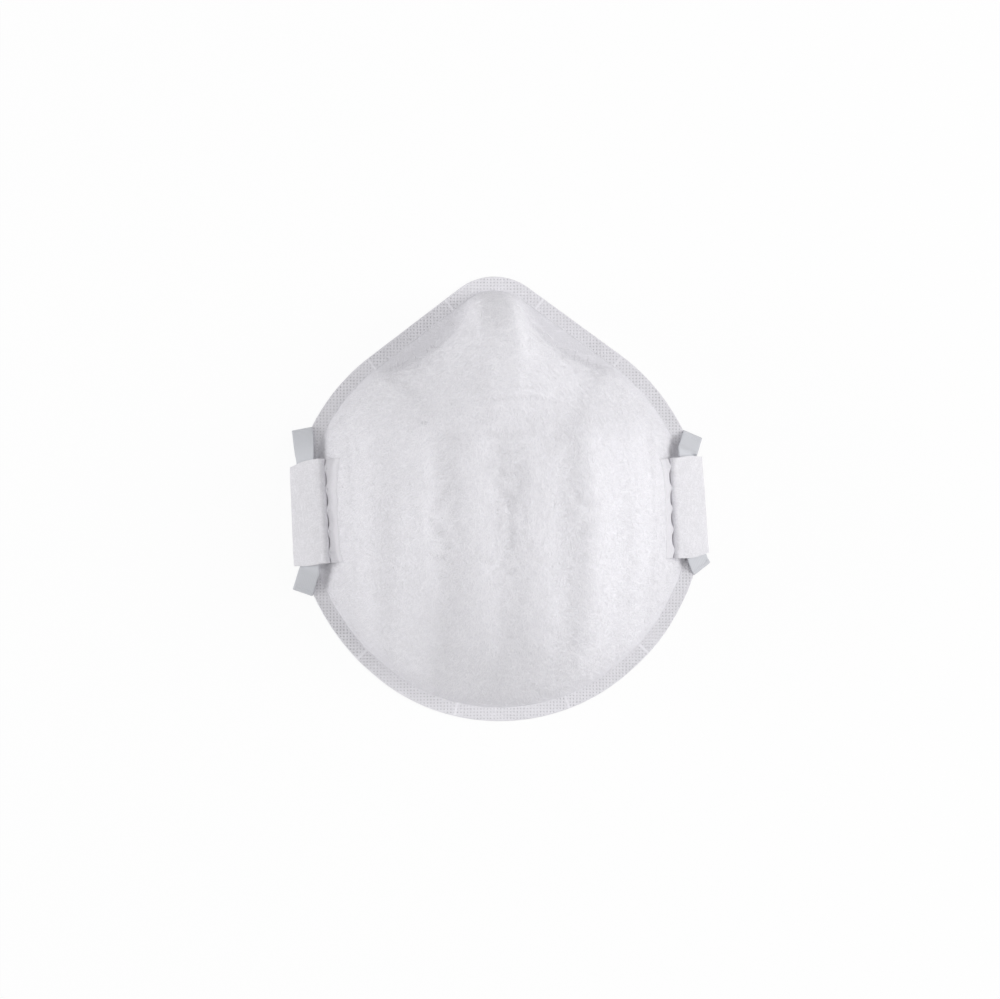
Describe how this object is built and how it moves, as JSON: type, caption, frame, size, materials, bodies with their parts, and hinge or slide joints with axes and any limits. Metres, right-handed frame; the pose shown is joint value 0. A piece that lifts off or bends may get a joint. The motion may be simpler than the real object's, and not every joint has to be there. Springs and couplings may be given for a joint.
{
  "type": "disposable dust mask",
  "caption": "Moulded cup dust mask of layered nonwoven with a flat welded rim, a shaped nose, two folded side tabs and one flat elastic band tucked behind the cup.",
  "frame": {"origin": "middle of the mask on the surface that its rim lies on", "axes": "+Z out of the front of the mask, +Y towards the nose, +X to the right in a view of the front"},
  "size_m": [0.1329, 0.1376, 0.0463],
  "materials": {
    "needle_felt": "fluffy white needle felt, pressed flat and dotted in the rim",
    "filter_web": "smooth melt-blown web",
    "shell_web": "stiff thermoformed web",
    "lining_web": "smooth spunbond lining",
    "soft_aluminium": "plain rolled",
    "foam": "open-cell foam",
    "tab_felt": "folded white nonwoven",
    "fused_felt": "fused glossy spots",
    "elastic_band": "grey flat elastic"
  },
  "bodies": {
    "root": {"outer_cover": "needle_felt", "filter_web_front": "filter_web", "filter_web_back": "filter_web", "support_shell": "shell_web", "inner_lining": "lining_web", "nose_clip": "soft_aluminium", "nose_foam": "foam", "left_tab_flange": "tab_felt", "right_tab_flange": "tab_felt", "left_weld_points": "fused_felt", "right_weld_points": "fused_felt"},
    "left_tab": {"left_tab": "tab_felt", "left_strap_run": "elastic_band"},
    "right_tab": {"right_tab": "tab_felt", "right_strap_run": "elastic_band"},
    "crown_strap": {"crown_strap": "elastic_band"},
    "neck_strap": {"neck_strap": "elastic_band"}
  },
  "joints": [
    {"name": "left_tab_fold", "type": "hinge", "parent": "root", "child": "left_tab", "pos_m": [-0.05437, -0.0034, 0.0114], "axis": [-0.0144, 0.9996, -0.0259], "range_deg": [0, 45]},
    {"name": "right_tab_fold", "type": "hinge", "parent": "root", "child": "right_tab", "pos_m": [0.05437, -0.0034, 0.0114], "axis": [0.0338, -0.9976, -0.061], "range_deg": [0, 45]},
    {"name": "crown_strap_swing", "type": "hinge", "parent": "root", "child": "crown_strap", "pos_m": [0.0004, 0.01985, 0.00037], "axis": [0.9997, -0.0237, 0], "range_deg": [0, 100]},
    {"name": "neck_strap_swing", "type": "hinge", "parent": "root", "child": "neck_strap", "pos_m": [0.00035, -0.02575, 0.00037], "axis": [-0.9997, -0.0231, 0], "range_deg": [0, 100]}
  ]
}
